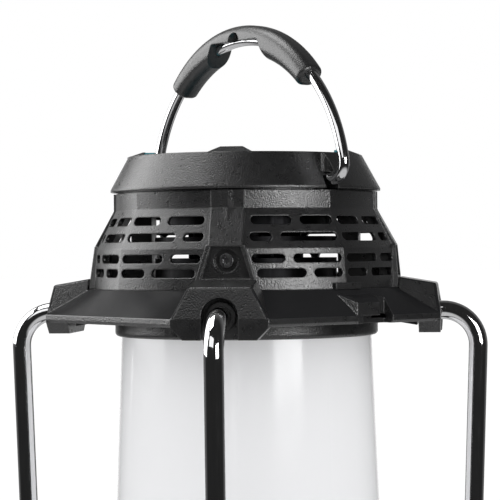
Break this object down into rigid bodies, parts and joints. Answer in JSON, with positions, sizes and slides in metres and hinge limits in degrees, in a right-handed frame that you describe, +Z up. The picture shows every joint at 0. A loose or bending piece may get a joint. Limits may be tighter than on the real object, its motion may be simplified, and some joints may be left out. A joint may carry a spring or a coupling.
{
  "type": "camping lantern",
  "caption": "Rugged lantern with a swinging bail handle, a vented black head, an opal diffuser, bent chrome guard rods and a square base with push buttons and a flap over its charging inlet.",
  "frame": {"origin": "on the ground below the middle of the lantern", "axes": "+Z up, -Y towards the push buttons, +X along the bail's pivots"},
  "size_m": [0.2218, 0.2218, 0.4878],
  "materials": {
    "shell_plastic": "fine leather grain",
    "grip_rubber": "soft moulded, fine grain",
    "bright_chrome": "polished plate",
    "bush_plastic": "smooth moulded",
    "teal_plastic": "fine grain",
    "screw_steel": "dark zinc plate",
    "sink_aluminium": "dark anodised",
    "seal_rubber": "matt",
    "diffuser_plastic": "glossy opal",
    "reflector_plastic": "white film",
    "board_laminate": "lacquered laminate",
    "light_resin": "clear domed resin",
    "lead_jacket": "smooth jacket",
    "cell_can": null,
    "insert_brass": "turned",
    "inner_plastic": "smooth moulded",
    "panel_plastic": "smooth gloss",
    "button_rubber": "soft moulded",
    "flap_rubber": "soft moulded"
  },
  "bodies": {
    "lantern": {"top_cap": "shell_plastic", "vent_housing": "shell_plastic", "shoulder_flange": "shell_plastic", "upper_collar": "shell_plastic", "lower_collar": "shell_plastic", "base_shell": "shell_plastic", "base_tray": "shell_plastic", "guard_rod_back_right": "bright_chrome", "guard_rod_back_left": "bright_chrome", "guard_rod_front_left": "bright_chrome", "guard_rod_front_right": "bright_chrome", "bail_bushes": "bush_plastic", "top_plate": "teal_plastic", "lug_pads": "teal_plastic", "housing_screws": "screw_steel", "rod_screws": "screw_steel", "tray_screws": "screw_steel", "flap_hinge_pin": "screw_steel", "heat_sink": "sink_aluminium", "led_mast": "sink_aluminium", "upper_seal": "seal_rubber", "lower_seal": "seal_rubber", "base_gasket": "seal_rubber", "upper_grommets": "seal_rubber", "lower_grommets": "seal_rubber", "rubber_feet": "seal_rubber", "diffuser": "diffuser_plastic", "upper_reflector": "reflector_plastic", "lower_reflector": "reflector_plastic", "led_boards": "board_laminate", "driver_board": "board_laminate", "switch_board": "board_laminate", "led_chips": "light_resin", "level_lights": "light_resin", "mast_leads": "lead_jacket", "battery_cells": "cell_can", "tripod_insert": "insert_brass", "lower_cell_holder": "inner_plastic", "upper_cell_holder": "inner_plastic", "driver_components": "inner_plastic", "tact_switches": "inner_plastic", "charge_socket": "inner_plastic", "control_panel": "panel_plastic"},
    "bail": {"bail_wire": "bright_chrome", "bail_grip": "grip_rubber"},
    "power_key": {"power_button": "button_rubber"},
    "brighter_key": {"brighter_button": "button_rubber"},
    "dimmer_key": {"dimmer_button": "button_rubber"},
    "flap": {"port_flap": "flap_rubber"}
  },
  "joints": [
    {"name": "bail_swing", "type": "hinge", "parent": "lantern", "child": "bail", "pos_m": [0, 0, 0.3863], "axis": [1, 0, 0], "range_deg": [-80, 80]},
    {"name": "power_press", "type": "slide", "parent": "lantern", "child": "power_key", "axis": [0, 1, 0], "range_m": [0, 0.0012], "stiffness_N_per_m": 1500},
    {"name": "brighter_press", "type": "slide", "parent": "lantern", "child": "brighter_key", "axis": [0, 1, 0], "range_m": [0, 0.0012], "stiffness_N_per_m": 1500},
    {"name": "dimmer_press", "type": "slide", "parent": "lantern", "child": "dimmer_key", "axis": [0, 1, 0], "range_m": [0, 0.0012], "stiffness_N_per_m": 1500},
    {"name": "flap_turn", "type": "hinge", "parent": "lantern", "child": "flap", "pos_m": [0, 0.1044, 0.044], "axis": [-1, 0, 0], "range_deg": [0, 100]}
  ]
}
